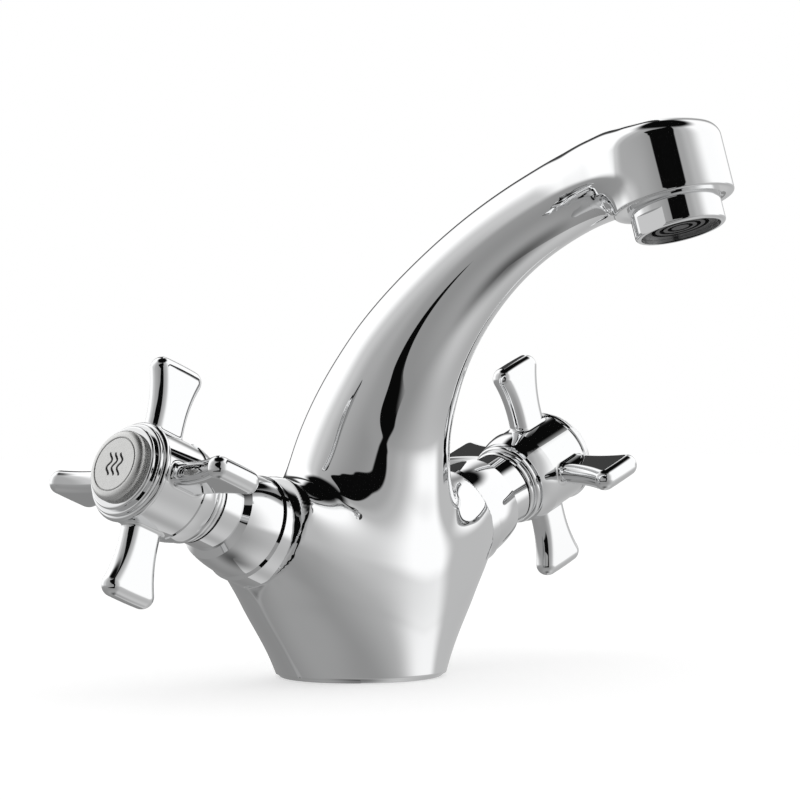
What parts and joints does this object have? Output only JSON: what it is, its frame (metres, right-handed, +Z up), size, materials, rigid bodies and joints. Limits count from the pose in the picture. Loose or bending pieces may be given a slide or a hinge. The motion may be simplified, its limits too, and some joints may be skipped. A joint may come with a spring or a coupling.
{
  "type": "bathroom mixer faucet",
  "caption": "Chrome deck-mounted basin mixer with a swan-neck spout and a cross handle on each side; each handle turns a ceramic-disc valve, and an aerator ends the spout.",
  "frame": {"origin": "middle of the foot on the basin deck", "axes": "+Z up from the deck, spout towards -Y, hot valve at -X and cold valve at +X"},
  "size_m": [0.2187, 0.1862, 0.1704],
  "materials": {
    "chrome": "polished chrome plate on brass",
    "satin_chrome": "satin chrome",
    "brass": "turned brass",
    "ceramic": "lapped ceramic",
    "rubber": "matt black rubber",
    "fibre": "red fibre",
    "steel": "stainless steel",
    "bush_plastic": "natural moulded plastic",
    "insert_plastic": "dark moulded plastic"
  },
  "bodies": {
    "mixer_body": {"body_casting": "chrome", "base_seal": "rubber", "aerator_housing": "chrome", "aerator_insert": "insert_plastic", "aerator_screen": "steel", "aerator_washer": "rubber", "hot_seat_seal": "rubber", "hot_fixed_disc": "ceramic", "hot_headwork": "brass", "hot_headwork_washer": "fibre", "hot_valve_cover": "chrome", "cold_seat_seal": "rubber", "cold_fixed_disc": "ceramic", "cold_headwork": "brass", "cold_headwork_washer": "fibre", "cold_valve_cover": "chrome"},
    "hot_handle_body": {"hot_moving_disc": "ceramic", "hot_spindle": "brass", "hot_spindle_ring": "rubber", "hot_spindle_clip": "steel", "hot_spline_bush": "bush_plastic", "hot_handle": "chrome", "hot_handle_screw": "steel", "hot_index_ring": "chrome", "hot_index_disc": "satin_chrome"},
    "cold_handle_body": {"cold_moving_disc": "ceramic", "cold_spindle": "brass", "cold_spindle_ring": "rubber", "cold_spindle_clip": "steel", "cold_spline_bush": "bush_plastic", "cold_handle": "chrome", "cold_handle_screw": "steel", "cold_index_ring": "chrome", "cold_index_disc": "satin_chrome"}
  },
  "joints": [
    {"name": "hot_handle_turn", "type": "hinge", "parent": "mixer_body", "child": "hot_handle_body", "pos_m": [0, 0.0014, 0.03], "axis": [-0.9291, 0, 0.3697], "range_deg": [0, 90]},
    {"name": "cold_handle_turn", "type": "hinge", "parent": "mixer_body", "child": "cold_handle_body", "pos_m": [0, 0.0014, 0.03], "axis": [0.9291, 0, 0.3697], "range_deg": [0, 90]}
  ]
}
